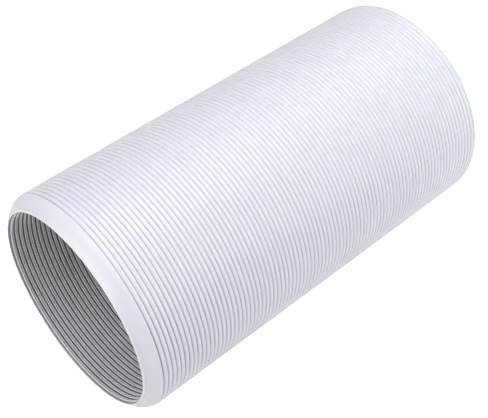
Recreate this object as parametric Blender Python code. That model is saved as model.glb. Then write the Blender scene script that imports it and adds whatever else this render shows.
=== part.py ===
"""Exhaust hose of a portable air conditioner, pushed together to its short length.

One piece of white polypropylene: a round wall folded into close ribs, with a
smooth band rounding in to each open mouth. It lies on its side. The bore runs
along X, with the mouth of the wide band at -X, and Z is up.
"""

from math import cos, pi, radians, sin

import bmesh
import bpy
from mathutils import Matrix, Vector

MM = 0.001

# Driving dimensions, in metres
OUTER_RADIUS = 75.0 * MM      # over the crests of the ribs
FOLD_DEPTH = 8.6 * MM         # crest of a rib to the tip of the fold inside
RIB_PITCH = 3.16 * MM         # crest to crest, with the hose pushed together
RIB_COUNT = 87
GROOVE_DEPTH = 1.8 * MM       # crest to the bottom of the groove beside it

MOUTH_BAND = 9.8 * MM         # mouth to the first groove outside
MOUTH_LIP = 1.1 * MM          # thickness of the lip of the mouth
MOUTH_FULLNESS = 1.4          # 1 is a straight cone, more is a rounder band
MOUTH_STEPS = 5
MOUTH_INNER_RIBS = 24         # folds inside this end, then a plain bore
RIBS_UNDER_BAND = 2           # folds inside that the mouth's band covers

FAR_BAND = 4.4 * MM           # last groove outside to the far end
FAR_LIP = 3.8 * MM
FAR_FULLNESS = 2.2
FAR_STEPS = 3
FAR_INNER_RIBS = 16

NEAR_SHIFT = 0.07 * MM        # how far the first ribs lie inwards from even spacing
MIDDLE_SHIFT = 0.6 * MM       # how much further inwards those at the middle lie
FAR_SHIFT = 0.67 * MM         # how far the last ribs lie back from that
HELD = 12.0 * MM              # at each end, where the shift grows from nothing

SHOULDER_DROP = 0.3 * MM      # the bands end this much under the crests
SHOULDER_RUN = 1.3 * MM       # groove bottom up to the top of a band, along the bore

FACETS = 24                   # flats round the hose, with one flat at the bottom

HOSE_COLOUR = (0.90, 0.91, 0.94, 1.0)
HOSE_ROUGHNESS = 0.42
SHARP_ANGLE = radians(30)

# Worked out from the driving dimensions
BORE_RADIUS = OUTER_RADIUS - FOLD_DEPTH
GROOVE_RADIUS = OUTER_RADIUS - GROOVE_DEPTH
INNER_GROOVE_RADIUS = BORE_RADIUS + GROOVE_DEPTH
LAST_GROOVE = MOUTH_BAND + RIB_COUNT * RIB_PITCH
HOSE_LENGTH = LAST_GROOVE + FAR_BAND


def clear_scene():
    """Take every object out of the open scene."""
    for item in list(bpy.data.objects):
        bpy.data.objects.remove(item, do_unlink=True)


def plastic(name, colour, roughness):
    """Make a plain moulded plastic material."""
    material = bpy.data.materials.new(name)
    material.use_nodes = True
    shader = material.node_tree.nodes["Principled BSDF"]
    shader.inputs["Base Color"].default_value = colour
    shader.inputs["Roughness"].default_value = roughness
    shader.inputs["Metallic"].default_value = 0.0
    return material


def band_outline(width, lip, fullness, steps):
    """Points from a lip to the top of its band, as (distance from the end, radius).

    The band rises steeply at the lip and levels out at its shoulder, which
    stands just under the crests and one short slope away from the groove.
    """
    rim_radius = BORE_RADIUS + lip
    top_radius = OUTER_RADIUS - SHOULDER_DROP
    top_distance = width - SHOULDER_RUN
    points = []
    for step in range(steps + 1):
        share = step / steps
        rise = 1.0 - (1.0 - share) ** fullness
        points.append((share * top_distance, rim_radius + rise * (top_radius - rim_radius)))
    return points


def outer_ribs():
    """Grooves and crests of the outside, as (distance from the mouth, radius)."""
    points = []
    for rib in range(RIB_COUNT):
        groove = MOUTH_BAND + rib * RIB_PITCH
        points.append((groove, GROOVE_RADIUS))
        points.append((groove + RIB_PITCH / 2, OUTER_RADIUS))
    points.append((LAST_GROOVE, GROOVE_RADIUS))
    return points


def inner_ribs(first_tip, count):
    """Folds inside one mouth, from its lip inwards, as (distance from the end, radius).

    Each fold's tip lies under a groove of the outside, because the wall is
    one folded sheet, and a groove of the inside lies before each tip.
    """
    points = [(0.0, BORE_RADIUS)]
    for rib in range(count):
        tip = first_tip + rib * RIB_PITCH
        points.append((tip - RIB_PITCH / 2, INNER_GROOVE_RADIUS))
        points.append((tip, BORE_RADIUS))
    return points


def from_mouth(far_points):
    """Turn points measured from the far end, lip first, into ones from the mouth."""
    return [(HOSE_LENGTH - distance, radius) for distance, radius in far_points]


def settled(distance):
    """Where a point of the evenly spaced hose lies, both measured from the mouth.

    The hose was pushed together by hand, so its ribs are a little wider apart in
    the first half and closer near the far end.
    """
    share = distance / HOSE_LENGTH
    hold = min(1.0, distance / HELD, (HOSE_LENGTH - distance) / HELD)
    shift = NEAR_SHIFT + MIDDLE_SHIFT * sin(pi * share) ** 2 - FAR_SHIFT * share ** 4
    return distance + hold * shift


def wall_outline():
    """The closed outline of the wall's section, as (distance from the mouth, radius)."""
    first_tip = MOUTH_BAND - RIBS_UNDER_BAND * RIB_PITCH
    outside = band_outline(MOUTH_BAND, MOUTH_LIP, MOUTH_FULLNESS, MOUTH_STEPS) + outer_ribs()
    far_band = from_mouth(band_outline(FAR_BAND, FAR_LIP, FAR_FULLNESS, FAR_STEPS))
    far_inside = from_mouth(inner_ribs(FAR_BAND, FAR_INNER_RIBS))
    inside = inner_ribs(first_tip, MOUTH_INNER_RIBS)
    outline = outside + far_band[::-1] + far_inside + inside[::-1]
    return [(settled(distance), radius) for distance, radius in outline]


def turned_wall(name, outline, material):
    """Turn a section outline round the bore's axis into one closed wall.

    The corners of the flats stand out by the secant of half a step, so that
    every flat touches the true circle and the hose lies on its bottom flat.
    """
    half_step = pi / FACETS
    corner = 1.0 / cos(half_step)
    axis_point = Vector((0.0, 0.0, OUTER_RADIUS))
    tilt = Matrix.Rotation(half_step, 4, "X")

    mesh = bmesh.new()
    ring = []
    for distance, radius in outline:
        arm = tilt @ Vector((0.0, 0.0, -radius * corner))
        along = Vector((distance - HOSE_LENGTH / 2, 0.0, 0.0))
        ring.append(mesh.verts.new(axis_point + along + arm))
    edges = [mesh.edges.new((ring[i - 1], ring[i])) for i in range(len(ring))]
    bmesh.ops.spin(mesh, geom=ring + edges, cent=axis_point, axis=(1.0, 0.0, 0.0),
                   angle=2 * pi, steps=FACETS, use_merge=True)
    bmesh.ops.recalc_face_normals(mesh, faces=mesh.faces)

    data = bpy.data.meshes.new(name)
    mesh.to_mesh(data)
    mesh.free()
    data.materials.append(material)
    data.shade_smooth()
    data.set_sharp_from_angle(angle=SHARP_ANGLE)
    hose = bpy.data.objects.new(name, data)
    bpy.context.collection.objects.link(hose)
    return hose


def main():
    """Build the hose as one named object."""
    clear_scene()
    white = plastic("white_polypropylene", HOSE_COLOUR, HOSE_ROUGHNESS)
    turned_wall("exhaust_hose", wall_outline(), white)


main()
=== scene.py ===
"""Looks of a ribbed exhaust hose, pushed together, lying on a pale studio floor.

The hose is one folded sheet of white plastic. Its section is modelled as a
line: one fold of the outside and one of the inside are shaped, repeated along
the bore, and closed by the bands at both mouths. The line is then spun round
the bore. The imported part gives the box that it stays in.
"""

import logging
from collections.abc import Callable
from dataclasses import dataclass, field
from enum import Enum
from math import exp, pi, radians, sin

import bpy
from mathutils import Matrix, Vector, noise

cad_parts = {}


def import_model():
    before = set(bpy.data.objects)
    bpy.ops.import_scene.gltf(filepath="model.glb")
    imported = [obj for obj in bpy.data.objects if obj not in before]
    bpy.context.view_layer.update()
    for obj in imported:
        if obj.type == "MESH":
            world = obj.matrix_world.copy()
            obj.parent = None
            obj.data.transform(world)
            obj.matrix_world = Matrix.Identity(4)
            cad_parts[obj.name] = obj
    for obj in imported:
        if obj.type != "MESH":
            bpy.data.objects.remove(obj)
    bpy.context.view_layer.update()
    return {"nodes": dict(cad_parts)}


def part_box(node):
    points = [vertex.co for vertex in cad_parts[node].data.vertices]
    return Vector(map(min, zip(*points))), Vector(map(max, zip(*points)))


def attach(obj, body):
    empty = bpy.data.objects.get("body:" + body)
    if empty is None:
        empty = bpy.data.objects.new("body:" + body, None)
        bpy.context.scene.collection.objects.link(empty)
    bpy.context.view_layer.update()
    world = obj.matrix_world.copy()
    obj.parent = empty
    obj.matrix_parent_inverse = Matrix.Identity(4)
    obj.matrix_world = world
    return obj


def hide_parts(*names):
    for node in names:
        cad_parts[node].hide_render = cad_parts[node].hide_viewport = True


LOG = logging.getLogger("exhaust_hose")

MM = 0.001
MERGE = 0.00001
BODY = "root"
HOSE_NODE = "exhaust_hose"
HOSE_SLOT = "hose_plastic"

Pair = tuple[float, float]
Triple = tuple[float, float, float]
Colour = Triple

WHITE = (1.0, 1.0, 1.0)
EVEN = (1.0, 1.0, 1.0)


class Mouth(Enum):
    """The two ends of the hose, by the side of the bore that they close."""

    NEAR = -1
    FAR = 1


# Shader maths


class Socket:
    """One output of a shader node that takes part in Python expressions."""

    def __init__(self, writer: "NodeWriter", link: bpy.types.NodeSocket) -> None:
        """Wrap an output socket.

        Args:
            writer: The writer that adds nodes to the same tree.
            link: The output socket.
        """
        self.writer = writer
        self.link = link

    def maths(self, operation: str, *others: "Socket | float") -> "Socket":
        """Add a Math node that starts with this socket."""
        values = dict(enumerate((self, *others)))
        return self.writer.node("ShaderNodeMath", {"operation": operation}, values)

    def __add__(self, other: "Socket | float") -> "Socket":
        """Add."""
        return self.maths("ADD", other)

    __radd__ = __add__

    def __sub__(self, other: "Socket | float") -> "Socket":
        """Subtract."""
        return self.maths("SUBTRACT", other)

    def __rsub__(self, other: float) -> "Socket":
        """Subtract this from a number."""
        values = {0: other, 1: self}
        return self.writer.node("ShaderNodeMath", {"operation": "SUBTRACT"}, values)

    def __mul__(self, other: "Socket | float") -> "Socket":
        """Multiply."""
        return self.maths("MULTIPLY", other)

    __rmul__ = __mul__

    def __truediv__(self, other: "Socket | float") -> "Socket":
        """Divide."""
        return self.maths("DIVIDE", other)

    def floor(self) -> "Socket":
        """Round down to a whole number."""
        return self.maths("FLOOR")

    def step(self, start: float, end: float) -> "Socket":
        """Rise smoothly from 0 at one value to 1 at another.

        Args:
            start: Where the rise starts.
            end: Where it ends.

        Returns:
            The share of the rise.
        """
        settings = {"interpolation_type": "SMOOTHSTEP"}
        values = {"Value": self, "From Min": start, "From Max": end}
        return self.writer.node("ShaderNodeMapRange", settings, values)


class NodeWriter:
    """Adds nodes to one material."""

    def __init__(self, name: str) -> None:
        """Start an empty material.

        Args:
            name: The material's name.
        """
        self.material = bpy.data.materials.new(name)
        self.material.use_nodes = True
        self.tree = self.material.node_tree
        self.tree.nodes.clear()

    def node(
        self,
        kind: str,
        settings: dict | None = None,
        values: dict | None = None,
        output: int | str = 0,
    ) -> Socket:
        """Add one node.

        Args:
            kind: The node's type.
            settings: Properties, which are set before the sockets.
            values: Numbers, colours or Sockets by input name or place.
            output: The output that is used.

        Returns:
            The chosen output.
        """
        made = self.tree.nodes.new(kind)
        for key, value in (settings or {}).items():
            setattr(made, key, value)
        for key, value in (values or {}).items():
            if isinstance(value, Socket):
                self.tree.links.new(value.link, made.inputs[key])
            else:
                made.inputs[key].default_value = value
        return Socket(self, made.outputs[output])

    def painted(self, name: str) -> Socket:
        """Read one of the piece's own attributes as a number."""
        return self.node("ShaderNodeAttribute", {"attribute_name": name}, output="Fac")

    def blend(
        self,
        share: Socket | float,
        first: Socket | Colour,
        second: Socket | Colour,
        mode: str = "MIX",
    ) -> Socket:
        """Mix two colours.

        Args:
            share: 0 gives the first colour and 1 the second.
            first: A colour or a Socket.
            second: A colour or a Socket.
            mode: How the second colour is laid over the first.

        Returns:
            The mixed colour.
        """
        colours = [
            (*item, 1.0) if isinstance(item, tuple) else item for item in (first, second)
        ]
        settings = {"data_type": "RGBA", "blend_type": mode}
        values = {0: share, 6: colours[0], 7: colours[1]}
        return self.node("ShaderNodeMix", settings, values, output=2)

    def grain(self, where: Socket, scale: float, stretch: Triple, detail: float) -> Socket:
        """Soft noise, stretched by a Mapping node.

        Args:
            where: Object coordinates.
            scale: Spots per metre.
            stretch: How much the pattern is packed along x, y and z.
            detail: Layers of finer noise.

        Returns:
            A value round 0.5.
        """
        mapped = self.node("ShaderNodeMapping", None, {"Vector": where, "Scale": stretch})
        values = {"Vector": mapped, "Scale": scale, "Detail": detail}
        return self.node("ShaderNodeTexNoise", None, values)

    def finish(self, surface: Socket) -> bpy.types.Material:
        """Link the surface shader and hand over the material.

        Args:
            surface: The shader.

        Returns:
            The finished material.
        """
        end = self.tree.nodes.new("ShaderNodeOutputMaterial")
        self.tree.links.new(surface.link, end.inputs["Surface"])
        return self.material


class Spot:
    """Sockets that tell where on the hose a shaded point lies."""

    def __init__(self, writer: NodeWriter) -> None:
        """Read the place, which is the place in the row frame, and the painted marks.

        Args:
            writer: The writer of the hose's material.
        """
        self.where = writer.node("ShaderNodeTexCoord", output="Object")
        self.along = writer.node("ShaderNodeSeparateXYZ", None, {0: self.where}, output="X")
        axes = self.along.link.node.outputs
        self.across = Socket(writer, axes["Y"])
        self.height = Socket(writer, axes["Z"])
        self.outwards = writer.painted("outside")
        self.depth = writer.painted("depth")
        self.edge = writer.painted("edge")


# Finishes


@dataclass(frozen=True)
class HosePlastic:
    """White polypropylene of the hose, greyer on the side that faces the bore.

    The grooves are darkened as painted shade, and darker still where they
    lie aside from the brightest side of the hose, most of all near the
    mouth. The band pales towards its lip as a painted highlight, with
    painted shade on it aside from the brightest side, below the rim. The
    tips of the folds inside are paler as a painted highlight, and their
    grooves are dark as painted shade. Each span is where a smooth change
    starts and ends: in grooves as a share of their depth, on the lip as a
    share of the way to it.
    """

    outside: Colour = (0.89, 0.90, 0.97)
    # Painted shade in the bottoms of the outside grooves, deeper aside from the brightest side
    # of the hose.
    groove: Colour = (0.80, 0.81, 0.88)
    side_groove_shade: Colour = (0.44, 0.45, 0.51)
    groove_shade_span: Pair = (0.10, 0.90)

    # Painted highlight on the band near its lip, with painted shade there aside from the
    # brightest side, below the rim.
    edge: Colour = (0.99, 0.99, 1.0)
    side_edge_shade: Colour = (0.79, 0.79, 0.85)
    rim_highlight_span: Pair = (0.7, 0.95)

    # Painted highlight on the tips of the folds inside, and painted shade deep in their
    # grooves.
    bead_highlight: Colour = (0.97, 0.945, 1.0)
    inside: Colour = (0.880, 0.864, 0.911)
    inside_groove_shade: Colour = (0.19, 0.18, 0.20)
    bead_highlight_span: Pair = (0.0, 0.2)
    inside_shade_span: Pair = (0.2, 1.0)

    # The brightest side of the hose, by which the painted shade of the grooves and the lip is
    # laid.
    bright_side: Vector = field(default_factory=lambda: Vector((0.0, -0.34, 0.94)))
    bright_span: Pair = (0.6, 1.0)

    cloud_scale: float = 22.0
    cloud_detail: float = 3.0
    cloud_shade: float = 0.10
    rib_shade: float = 0.03
    dullest: Colour = (0.965, 0.965, 0.965)

    roughness: float = 0.42
    roughness_spread: float = 0.10
    polish: float = 0.20
    polish_span: Pair = (0.0, 0.35)
    coat: float = 0.08
    coat_roughness: float = 0.3
    refraction: float = 1.49

    speckle_scale: float = 900.0
    scratch_scale: float = 260.0
    scratch_stretch: Triple = (6.0, 0.35, 0.35)
    fine_detail: float = 2.0
    speckle_height: float = 0.5
    bump_strength: float = 0.35
    bump_distance: float = 0.05 * MM

    def material(self, hose: "RibbedHose") -> bpy.types.Material:
        """Write the material for a hose of the given sizes.

        Args:
            hose: The hose, which gives the radii and the pitch of the ribs.

        Returns:
            The material.
        """
        writer = NodeWriter(HOSE_SLOT)
        spot = Spot(writer)
        speckle = writer.grain(spot.where, self.speckle_scale, EVEN, self.fine_detail)
        outer = self.outer_colour(writer, spot, hose)
        clean = writer.blend(spot.outwards, self.inner_colour(writer, spot), outer)
        surface = writer.node(
            "ShaderNodeBsdfPrincipled",
            None,
            {
                "Base Color": self.clouded(writer, spot, hose, clean),
                "Roughness": self.worn_roughness(spot, speckle),
                "Normal": self.fine_relief(writer, spot, speckle),
                "IOR": self.refraction,
                "Coat Weight": self.coat,
                "Coat Roughness": self.coat_roughness,
            },
        )
        return writer.finish(surface)

    def outer_colour(self, writer: NodeWriter, spot: Spot, hose: "RibbedHose") -> Socket:
        """Colour of the ribs, their grooves and the bands, with painted shade and a painted
        highlight.

        Args:
            writer: The material's writer.
            spot: Where the point lies.
            hose: The hose, which gives the radius and the length.

        Returns:
            The colour.
        """
        # Painted shade in the grooves, darker aside from the brightest side and near the mouth.
        rise = spot.height - hose.outer_radius
        upwards = rise * self.bright_side.z + spot.across * self.bright_side.y
        aside = 1.0 - (upwards / hose.outer_radius).step(*self.bright_span)
        nearness = 0.5 - spot.along / hose.length
        groove = writer.blend(aside * nearness * nearness, self.groove, self.side_groove_shade)
        ribbed = writer.blend(spot.depth.step(*self.groove_shade_span), self.outside, groove)
        # Painted highlight on the lip, with painted shade aside from the brightest side below
        # the rim.
        below_lip = 1.0 - spot.edge.step(*self.rim_highlight_span)
        lip = writer.blend(aside * below_lip, self.edge, self.side_edge_shade)
        return writer.blend(spot.edge, ribbed, lip)

    def inner_colour(self, writer: NodeWriter, spot: Spot) -> Socket:
        """Colour of the folds inside, from a painted highlight on the beads on their tips to
        painted shade in their grooves.

        Args:
            writer: The material's writer.
            spot: Where the point lies.

        Returns:
            The colour.
        """
        # Painted highlight on the fold tips, painted shade in the grooves inside.
        tips = writer.blend(spot.depth.step(*self.bead_highlight_span), self.bead_highlight, self.inside)
        return writer.blend(spot.depth.step(*self.inside_shade_span), tips, self.inside_groove_shade)

    def clouded(
        self, writer: NodeWriter, spot: Spot, hose: "RibbedHose", clean: Socket
    ) -> Socket:
        """Dull a colour a little in soft clouds and from rib to rib.

        Args:
            writer: The material's writer.
            spot: Where the point lies.
            hose: The hose, which gives the length and the pitch.
            clean: The colour of the clean plastic.

        Returns:
            The colour.
        """
        clouds = writer.grain(spot.where, self.cloud_scale, EVEN, self.cloud_detail)
        rib = ((spot.along + hose.length) / hose.pitch).floor()
        spread = writer.node(
            "ShaderNodeTexWhiteNoise", {"noise_dimensions": "1D"}, {"W": rib}
        )
        shade = (clouds - 0.5) * self.cloud_shade + (spread - 0.5) * self.rib_shade
        dullness = writer.blend(0.5 + shade, self.dullest, WHITE)
        return writer.blend(1.0, clean, dullness, "MULTIPLY")

    def worn_roughness(self, spot: Spot, speckle: Socket) -> Socket:
        """Roughness, lower on the lip and on the tips of the folds inside.

        Args:
            spot: Where the point lies.
            speckle: Fine noise.

        Returns:
            The roughness.
        """
        tips = (1.0 - spot.outwards) * (1.0 - spot.depth.step(*self.polish_span))
        rubbed = tips + spot.edge * spot.outwards
        spread = (speckle - 0.5) * self.roughness_spread
        return self.roughness + spread - rubbed * self.polish

    def fine_relief(self, writer: NodeWriter, spot: Spot, speckle: Socket) -> Socket:
        """Fine specks, with marks drawn round the hose.

        Args:
            writer: The material's writer.
            spot: Where the point lies.
            speckle: Fine noise.

        Returns:
            The bumped normal.
        """
        drawn = writer.grain(
            spot.where, self.scratch_scale, self.scratch_stretch, self.fine_detail
        )
        values = {
            "Strength": self.bump_strength,
            "Distance": self.bump_distance,
            "Height": speckle * self.speckle_height + drawn,
        }
        return writer.node("ShaderNodeBump", None, values)


@dataclass(frozen=True)
class SheetFinish:
    """Matt sheet of the studio floor, which may glow."""

    name: str
    shade: float
    glow: float
    roughness: float = 0.9
    specular: float = 0.1

    def material(self) -> bpy.types.Material:
        """Write the material.

        Returns:
            The material.
        """
        writer = NodeWriter(self.name)
        surface = writer.node(
            "ShaderNodeBsdfPrincipled",
            None,
            {
                "Base Color": (self.shade, self.shade, self.shade, 1.0),
                "Roughness": self.roughness,
                "Specular IOR Level": self.specular,
                "Emission Color": (*WHITE, 1.0),
                "Emission Strength": self.glow,
            },
        )
        return writer.finish(surface)


# Modelling by hand


class Bench:
    """The edit mode operators that shape one object."""

    @staticmethod
    def clear() -> None:
        """Leave edit mode and deselect every object."""
        if bpy.context.object and bpy.context.object.mode == "EDIT":
            bpy.ops.object.mode_set(mode="OBJECT")
        bpy.ops.object.select_all(action="DESELECT")

    @staticmethod
    def settle_place() -> None:
        """Apply the place, turn and size of the active object to its mesh."""
        bpy.ops.object.transform_apply(location=True, rotation=True, scale=True)

    @classmethod
    def ring(cls, centre: Vector, corners: int) -> None:
        """Add a ring of edges across the bore's section and go into edit mode.

        Args:
            centre: The ring's middle.
            corners: How many points it has.
        """
        cls.clear()
        bpy.ops.mesh.primitive_circle_add(
            vertices=corners, radius=MM, fill_type="NOTHING",
            location=centre, rotation=(pi / 2, 0.0, 0.0),
        )
        cls.settle_place()
        bpy.ops.object.mode_set(mode="EDIT")

    @staticmethod
    def pick(test: Callable[[Vector], bool]) -> None:
        """Select the vertices of the active mesh by their place.

        Args:
            test: Called with each vertex's place, says whether it is picked.
        """
        bpy.ops.mesh.select_mode(type="VERT")
        bpy.ops.mesh.select_all(action="DESELECT")
        bpy.ops.object.mode_set(mode="OBJECT")
        for vert in bpy.context.object.data.vertices:
            vert.select = bool(test(vert.co))
        bpy.ops.object.mode_set(mode="EDIT")

    @classmethod
    def cut_away(cls, test: Callable[[Vector], bool]) -> None:
        """Delete the vertices of the active mesh that a test picks."""
        cls.pick(test)
        bpy.ops.mesh.delete(type="VERT")

    @staticmethod
    def stretch(centre: Vector, along: float, up: float) -> None:
        """Stretch the active mesh from a point, in edit mode.

        Args:
            centre: The point that stays.
            along: Factor along x.
            up: Factor along z.
        """
        factors = Matrix.Diagonal((along, 1.0, up))
        bpy.ops.object.mode_set(mode="OBJECT")
        for vert in bpy.context.object.data.vertices:
            vert.co = centre + factors @ (vert.co - centre)
        bpy.ops.object.mode_set(mode="EDIT")

    @staticmethod
    def loose_ends() -> list[Vector]:
        """Find the ends of the drawn line.

        Returns:
            Their places, from -x to +x.
        """
        bpy.ops.object.mode_set(mode="OBJECT")
        mesh = bpy.context.object.data
        uses = [0] * len(mesh.vertices)
        for edge in mesh.edges:
            for index in edge.vertices:
                uses[index] += 1
        ends = [vert.co.copy() for vert, count in zip(mesh.vertices, uses) if count == 1]
        bpy.ops.object.mode_set(mode="EDIT")
        return sorted(ends, key=lambda place: place.x)

    @staticmethod
    def pull(offset: Vector) -> None:
        """Extrude the selected vertices by an offset, each on its own edge."""
        bpy.ops.mesh.extrude_vertices_move(TRANSFORM_OT_translate={"value": offset})

    @classmethod
    def draw(cls, start: Vector, points: list[Vector]) -> None:
        """Extrude a line from one end of a drawn line through more points.

        Args:
            start: The end's place.
            points: Where the line goes from there.
        """
        cls.pick(lambda place: (place - start).length < MERGE)
        here = start
        for point in points:
            cls.pull(point - here)
            here = point

    @staticmethod
    def merge() -> None:
        """Merge the points of the active mesh that lie on one another."""
        bpy.ops.mesh.select_all(action="SELECT")
        bpy.ops.mesh.remove_doubles(threshold=MERGE)

    @staticmethod
    def repeat(count: int, pitch: float) -> None:
        """Array the active object along x and apply it.

        Args:
            count: How many there are in all.
            pitch: From each to the next.
        """
        item = bpy.context.object
        array = item.modifiers.new("folds", "ARRAY")
        array.count = count
        array.use_relative_offset = False
        array.use_constant_offset = True
        array.constant_offset_displace = (pitch, 0.0, 0.0)
        array.use_merge_vertices = True
        array.merge_threshold = MERGE
        bpy.ops.object.modifier_apply(modifier=array.name)


# The hose


@dataclass(frozen=True)
class FoldTip:
    """Shape of the tip of an inside fold, along the bore from the groove in front."""

    corners: int = 6
    first_bead: float = 0.42 * MM
    second_bead: float = 1.65 * MM
    bead_half_width: float = 0.31 * MM
    bead_rise: float = 0.38 * MM
    recess: float = 0.24 * MM
    dip: float = 0.62 * MM
    back: float = 2.35 * MM
    back_rise: float = 0.95 * MM


@dataclass(frozen=True)
class Crest:
    """Shape of the crest of an outside rib, about its own middle."""

    corners: int = 10
    half_width: float = 1.36 * MM
    rise: float = 0.95 * MM
    neck_half_width: float = 1.42 * MM
    neck_depth: float = 1.2 * MM


@dataclass(frozen=True)
class BandShape:
    """Section of the smooth band at one mouth, which rounds in to its lip.

    Distances are measured from the mouth. The two outlines are in
    millimetres: the shoulder's points as (run from the groove, drop from the
    crests) and the lip's as (distance, drop from the rim).
    """

    width: float
    lip: float
    fullness: float
    steps: int
    lip_outline: tuple[Pair, ...]
    dent: float = 0.0
    dent_place: float = 8.2 * MM
    dent_reach: float = 0.5 * MM
    shoulder: float = 1.1 * MM
    shoulder_drop: float = 0.25 * MM
    shoulder_outline: tuple[Pair, ...] = ((0.25, 1.0), (0.6, 0.45))

    def outline(self, outer_radius: float, bore_radius: float) -> list[Pair]:
        """Work out the band's points, from the groove beside it to its lip.

        Args:
            outer_radius: Over the crests of the ribs.
            bore_radius: Through the tips of the folds inside.

        Returns:
            Pairs of a distance and a radius.
        """
        top = outer_radius - self.shoulder_drop
        rim = bore_radius + self.lip
        points = [
            (self.width - run * MM, outer_radius - drop * MM)
            for run, drop in self.shoulder_outline
        ]
        for step in range(self.steps, 0, -1):
            share = step / self.steps
            rise = 1.0 - (1.0 - share) ** self.fullness
            distance = share * (self.width - self.shoulder)
            dent = self.dent * exp(-((distance - self.dent_place) / self.dent_reach) ** 2)
            points.append((distance, rim + rise * (top - rim) - dent))
        points += [(distance * MM, rim - drop * MM) for distance, drop in self.lip_outline]
        return points


NEAR_BAND = BandShape(
    width=10.0 * MM,
    lip=1.1 * MM,
    fullness=1.4,
    steps=16,
    lip_outline=((0.10, -0.02), (0.0, 0.12), (0.08, 0.36), (0.55, 0.34), (1.05, 0.15)),
    dent=0.16 * MM,
)
FAR_BAND = BandShape(
    width=4.4 * MM,
    lip=3.8 * MM,
    fullness=2.2,
    steps=8,
    lip_outline=((0.10, -0.02), (0.0, 0.12), (0.08, 0.36), (1.1, 0.30)),
)


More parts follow.
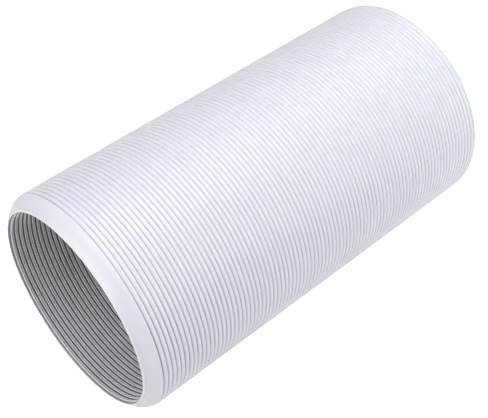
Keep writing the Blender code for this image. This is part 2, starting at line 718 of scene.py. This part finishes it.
@dataclass
class RibbedHose:
    """The folded hose, with its bore along x and its mouth band at -x."""

    box: tuple[Vector, Vector]
    pitch: float = 3.16 * MM
    rib_count: int = 87
    folds_under_bands: int = 2
    outer_radius: float = 75.0 * MM
    bore_radius: float = 66.4 * MM
    groove_depth: float = 2.1 * MM
    inner_groove_depth: float = 1.3 * MM
    inner_start: float = 2.30 * MM
    crest: Crest = Crest()
    tip: FoldTip = FoldTip()
    near_band: BandShape = NEAR_BAND
    far_band: BandShape = FAR_BAND

    facets: int = 64
    smooth_angle: float = radians(62)

    near_shift: float = 0.07 * MM
    middle_shift: float = 0.6 * MM
    far_shift: float = 0.67 * MM
    held: float = 12.0 * MM
    wander: float = 0.10 * MM
    wander_scale: float = 18.0
    mouth_lean: float = 0.25 * MM
    lean_reach: float = 3.0 * MM

    # Reach from the lip of the painted highlight and the polish on the band.
    pale_edge: float = 4.5 * MM
    outer_margin: float = 1.0 * MM
    inner_margin: float = 1.5 * MM

    finish: HosePlastic = field(default_factory=HosePlastic)
    piece: bpy.types.Object | None = None

    def __post_init__(self) -> None:
        """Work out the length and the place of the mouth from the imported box."""
        low, high = self.box
        self.start = low.x
        self.length = high.x - low.x
        self.axis = Vector((0.0, 0.0, self.outer_radius))
        self.first_groove_shift = Vector((-0.45 * MM, 0.0, -0.30 * MM))
        self.mouth_front = Vector((0.0, -1.0, 1.0)).normalized()

    def at(self, distance: float, radius: float) -> Vector:
        """Place of a section point, straight above the bore's axis.

        Args:
            distance: From the near mouth.
            radius: From the bore's axis.

        Returns:
            The point in the row frame.
        """
        return Vector((self.start + distance, 0.0, self.outer_radius + radius))

    def outer_fold(self) -> bpy.types.Object:
        """Model one rib of the outside, groove to groove, as a line.

        Returns:
            The line's object.
        """
        crest = self.crest
        middle = self.near_band.width + self.pitch / 2
        centre = self.at(middle, self.outer_radius - crest.rise)
        Bench.ring(centre, crest.corners)
        Bench.cut_away(lambda place: place.z < centre.z)
        Bench.stretch(centre, crest.half_width / MM, crest.rise / MM)
        for side, end in zip((-1, 1), Bench.loose_ends()):
            neck = self.at(
                middle + side * crest.neck_half_width, self.outer_radius - crest.neck_depth
            )
            groove = self.at(
                middle + side * self.pitch / 2, self.outer_radius - self.groove_depth
            )
            Bench.draw(end, [neck, groove])
        bpy.ops.object.mode_set(mode="OBJECT")
        return bpy.context.object

    def inner_fold(self, groove: float) -> bpy.types.Object:
        """Model one ridge of the inside, groove to groove, as a line.

        The tip is two small beads with a dip between them. Its front is
        steep and faces the near mouth, and its back slopes away gently.

        Args:
            groove: Distance of the groove in front of it from the near mouth.

        Returns:
            The line's object.
        """
        tip = self.tip
        centre = self.at(groove + tip.first_bead, self.bore_radius + tip.bead_rise)
        Bench.ring(centre, tip.corners)
        Bench.cut_away(lambda place: place.z > centre.z)
        Bench.stretch(centre, tip.bead_half_width / MM, tip.bead_rise / MM)
        front, dip = Bench.loose_ends()
        bpy.ops.mesh.select_all(action="SELECT")
        step = Vector((tip.second_bead - tip.first_bead, 0.0, tip.recess))
        bpy.ops.mesh.duplicate_move(TRANSFORM_OT_translate={"value": step})
        trough = (dip + front + step) / 2 + Vector((0.0, 0.0, tip.dip))
        Bench.draw(dip, [trough, front + step])
        depth = self.bore_radius + self.inner_groove_depth
        Bench.draw(front, [self.at(groove, depth)])
        back = self.at(groove + tip.back, self.bore_radius + tip.back_rise)
        Bench.draw(dip + step, [back, self.at(groove + self.pitch, depth)])
        Bench.merge()
        bpy.ops.object.mode_set(mode="OBJECT")
        return bpy.context.object

    def band(self, mouth: Mouth) -> list[Vector]:
        """Place the points of a band, from the groove beside it to its lip.

        Args:
            mouth: Which end.

        Returns:
            The points in order.
        """
        if mouth is Mouth.NEAR:
            points = self.near_band.outline(self.outer_radius, self.bore_radius)
            return [self.at(distance, radius) for distance, radius in points]
        points = self.far_band.outline(self.outer_radius, self.bore_radius)
        return [self.at(self.length - distance, radius) for distance, radius in points]

    def section(self) -> bpy.types.Object:
        """Join the folds and the bands into one closed line.

        Returns:
            The line's object, in edit mode.
        """
        outer = self.outer_fold()
        Bench.repeat(self.rib_count, self.pitch)
        inner = self.inner_fold(self.inner_start)
        folds = self.rib_count + self.folds_under_bands
        Bench.repeat(folds, self.pitch)
        Bench.clear()
        outer.select_set(True)
        inner.select_set(True)
        bpy.context.view_layer.objects.active = outer
        bpy.ops.object.join()
        bpy.ops.object.mode_set(mode="EDIT")

        groove = self.outer_radius - self.groove_depth
        inner_groove = self.bore_radius + self.inner_groove_depth
        first = self.near_band.width
        last = first + self.rib_count * self.pitch
        inner_start = self.at(self.inner_start, inner_groove)
        inner_end = self.at(self.inner_start + folds * self.pitch, inner_groove)
        Bench.draw(self.at(first, groove), [*self.band(Mouth.NEAR), inner_start])
        Bench.draw(self.at(last, groove), [*self.band(Mouth.FAR), inner_end])
        Bench.pick(lambda place: (place - inner_start).length < MERGE)
        bpy.ops.transform.translate(value=self.first_groove_shift)
        Bench.merge()
        return outer

    def build(self) -> None:
        """Spin the section round the bore and put the hose on its body."""
        self.piece = self.section()
        bpy.ops.mesh.select_all(action="SELECT")
        bpy.ops.mesh.spin(
            steps=self.facets, dupli=False, angle=2 * pi, use_auto_merge=True,
            center=self.axis, axis=(1.0, 0.0, 0.0),
        )
        Bench.merge()
        bpy.ops.mesh.normals_make_consistent(inside=False)
        bpy.ops.object.mode_set(mode="OBJECT")
        self.mark()
        self.settle()
        bpy.ops.object.shade_smooth_by_angle(angle=self.smooth_angle)
        self.piece.name = "ribbed_hose"
        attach(self.piece, BODY)
        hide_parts(HOSE_NODE)

    def drift(self, share: float) -> float:
        """How far the folds lie along the bore from even spacing.

        The hose was pushed together by hand, so its folds are a little less
        close in the first half and closer near the far mouth.

        Args:
            share: 0 at the near mouth and 1 at the far one.

        Returns:
            The shift along x.
        """
        middle = self.middle_shift * sin(pi * share) ** 2
        return self.near_shift + middle - self.far_shift * share**4

    def settle(self) -> None:
        """Shift the folds along the bore, and lean the mouth back a little at one side."""
        for vert in self.piece.data.vertices:
            place = vert.co
            distance = place.x - self.start
            arm = (place - self.axis) * Vector((0.0, 1.0, 1.0))
            hold = min(1.0, distance / self.held, (self.length - distance) / self.held)
            wander = noise.noise(place * self.wander_scale) * self.wander
            lean = self.mouth_lean * (1.0 - arm.normalized().dot(self.mouth_front))
            near = max(0.0, 1.0 - distance / self.lean_reach)
            place.x += max(0.0, hold) * (self.drift(distance / self.length) + wander)
            place.x += near * lean

    def mark(self) -> None:
        """Write the marks that the plastic reads.

        They are which side of the sheet a vertex is on, how deep it lies in
        a groove, which sets the painted shade in the grooves and the painted
        highlight on the tips of the folds inside, and how near the lip of the
        mouth it is, which sets the painted highlight and the polish of the lip.
        """
        mesh = self.piece.data
        first_outside = self.near_band.width - self.outer_margin
        first_inside = self.inner_start - self.inner_margin
        last = self.length - self.far_band.width + self.outer_margin
        outside, depth, edge = [], [], []
        for vert in mesh.vertices:
            arm = Vector((0.0, vert.co.y, vert.co.z - self.outer_radius))
            faces_out = vert.normal.dot(arm) > 0.0
            distance = vert.co.x - self.start
            if faces_out:
                ribbed = first_outside < distance < last
                below = (self.outer_radius - arm.length) / self.groove_depth
            else:
                ribbed = first_inside < distance < last
                below = (arm.length - self.bore_radius) / self.inner_groove_depth
            outside.append(1.0 if faces_out else 0.0)
            depth.append(max(0.0, min(1.0, below)) if ribbed else 0.0)
            edge.append(max(0.0, 1.0 - distance / self.pale_edge))
        for name, values in (("outside", outside), ("depth", depth), ("edge", edge)):
            mesh.attributes.new(name, "FLOAT", "POINT").data.foreach_set("value", values)

    def dress(self) -> None:
        """Give the hose its plastic."""
        self.piece.data.materials.clear()
        self.piece.data.materials.append(self.finish.material(self))

    def report(self) -> None:
        """Log the piece's name and how many triangles it has."""
        triangles = sum(len(face.vertices) - 2 for face in self.piece.data.polygons)
        LOG.info("%s: %d triangles", self.piece.name, triangles)


# The studio


@dataclass(frozen=True)
class SoftLight:
    """One soft disc of light that points at a place on the hose."""

    name: str
    place: Vector
    size: float
    power: float

    def hang(self, target: Vector) -> None:
        """Add the light.

        Args:
            target: The place that it points at.
        """
        data = bpy.data.lights.new(self.name, "AREA")
        data.shape = "DISK"
        data.size = self.size
        data.energy = self.power
        data.color = WHITE
        lamp = bpy.data.objects.new(self.name, data)
        lamp.location = self.place
        lamp.rotation_euler = (target - self.place).to_track_quat("-Z", "Y").to_euler()
        lamp.visible_camera = False
        bpy.context.scene.collection.objects.link(lamp)


@dataclass
class Studio:
    """Floor, light and camera."""

    floor_radius: float = 6.0
    floor_corners: int = 96
    floor_inset: float = 0.4
    white_height: float = -0.2 * MM
    bounce_height: float = -0.4 * MM
    white_sheet: SheetFinish = SheetFinish("white_sheet", 0.30, 0.93)
    bounce_sheet: SheetFinish = SheetFinish("bounce_sheet", 0.95, 0.0)

    dome_radius: float = 5.6
    dome_segments: int = 48
    dome_rings: int = 24
    dome_foot: Vector = field(default_factory=lambda: Vector((0.0, 0.0, -1.0 * MM)))
    backdrop: SheetFinish = SheetFinish("backdrop", 0.0, 0.97)

    light_target: Vector = field(default_factory=lambda: Vector((0.0, 0.0, 0.075)))
    lights: tuple[SoftLight, ...] = (
        SoftLight("overhead", Vector((-0.3, -0.15, 1.7)), 1.6, 15.0),
        SoftLight("overhead_far", Vector((0.35, 0.25, 1.7)), 1.4, 5.3),
        SoftLight("far_end", Vector((1.2, 0.2, 1.0)), 1.0, 6.0),
        SoftLight("far_low", Vector((0.8, -0.8, 0.35)), 0.6, 4.0),
        SoftLight("mouth_low", Vector((-1.6, -0.1, 0.5)), 1.0, 4.9),
        SoftLight("mouth_high", Vector((-0.9, 0.0, 1.3)), 0.8, 3.0),
        SoftLight("mouth_rear", Vector((-1.5, 0.5, 0.9)), 0.8, 1.9),
        SoftLight("side", Vector((0.2, -1.6, 0.6)), 1.0, 2.0),
    )
    sky: float = 0.02

    lens: float = 75.81
    sensor_width: float = 36.0
    clip: Pair = (0.01, 50.0)
    camera_place: Vector = field(default_factory=lambda: Vector((-0.32732, -0.35257, 0.56016)))
    camera_target: Vector = field(default_factory=lambda: Vector((-0.00749, -0.00248, 0.06837)))

    def lay_sheet(self, finish: SheetFinish, height: float) -> bpy.types.Object:
        """Model one sheet of the floor: a disc with an inset edge.

        Args:
            finish: Its finish, whose name it takes.
            height: Its place on z.

        Returns:
            The sheet, which is marked as stage.
        """
        Bench.clear()
        bpy.ops.mesh.primitive_circle_add(
            vertices=self.floor_corners, radius=self.floor_radius, fill_type="NGON",
            location=(0.0, 0.0, height),
        )
        sheet = bpy.context.object
        sheet.name = finish.name
        Bench.settle_place()
        bpy.ops.object.mode_set(mode="EDIT")
        bpy.ops.mesh.select_all(action="SELECT")
        bpy.ops.mesh.inset(thickness=self.floor_inset)
        bpy.ops.object.mode_set(mode="OBJECT")
        sheet.data.materials.append(finish.material())
        return sheet

    def lay_floor(self) -> None:
        """Lay the white sheet that is seen over the one that lights the hose from below."""
        seen = self.lay_sheet(self.white_sheet, self.white_height)
        seen.visible_diffuse = seen.visible_glossy = seen.visible_shadow = False
        under = self.lay_sheet(self.bounce_sheet, self.bounce_height)
        under.visible_camera = False

    def hang_backdrop(self) -> None:
        """Model the pale dome behind the floor, which is seen but lights nothing."""
        Bench.clear()
        bpy.ops.mesh.primitive_uv_sphere_add(
            segments=self.dome_segments, ring_count=self.dome_rings,
            radius=self.dome_radius, location=self.dome_foot,
        )
        dome = bpy.context.object
        dome.name = self.backdrop.name
        Bench.settle_place()
        bpy.ops.object.mode_set(mode="EDIT")
        bpy.ops.mesh.select_all(action="SELECT")
        bpy.ops.mesh.bisect(
            plane_co=self.dome_foot, plane_no=(0.0, 0.0, 1.0), clear_inner=True
        )
        bpy.ops.mesh.select_all(action="SELECT")
        bpy.ops.mesh.normals_make_consistent(inside=True)
        bpy.ops.object.mode_set(mode="OBJECT")
        dome.visible_diffuse = dome.visible_glossy = dome.visible_shadow = False
        dome.data.materials.append(self.backdrop.material())

    def light(self) -> None:
        """Hang the soft lights and set the sky."""
        for lamp in self.lights:
            lamp.hang(self.light_target)
        world = bpy.data.worlds.new("studio")
        world.use_nodes = True
        sky = world.node_tree.nodes["Background"]
        sky.inputs["Color"].default_value = (*WHITE, 1.0)
        sky.inputs["Strength"].default_value = self.sky
        bpy.context.scene.world = world

    def set_camera(self) -> None:
        """Place the camera at the photograph's viewpoint, level."""
        data = bpy.data.cameras.new("camera")
        data.lens = self.lens
        data.sensor_width = self.sensor_width
        data.clip_start, data.clip_end = self.clip
        camera = bpy.data.objects.new("camera", data)
        camera.location = self.camera_place
        aim = self.camera_target - self.camera_place
        camera.rotation_euler = aim.to_track_quat("-Z", "Y").to_euler()
        scene = bpy.context.scene
        scene.collection.objects.link(camera)
        scene.camera = camera
        scene.view_settings.view_transform = "Standard"
        scene.view_settings.look = "None"


def main() -> None:
    """Build the hose and the studio round it."""
    logging.basicConfig(level=logging.INFO, format="%(name)s: %(message)s")
    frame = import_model()
    LOG.info("packed nodes: %s", ", ".join(frame["nodes"]))

    hose = RibbedHose(box=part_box(HOSE_NODE))
    hose.build()
    hose.dress()
    hose.report()

    studio = Studio()
    studio.lay_floor()
    studio.hang_backdrop()
    studio.light()
    studio.set_camera()


if __name__ == "__main__":
    main()
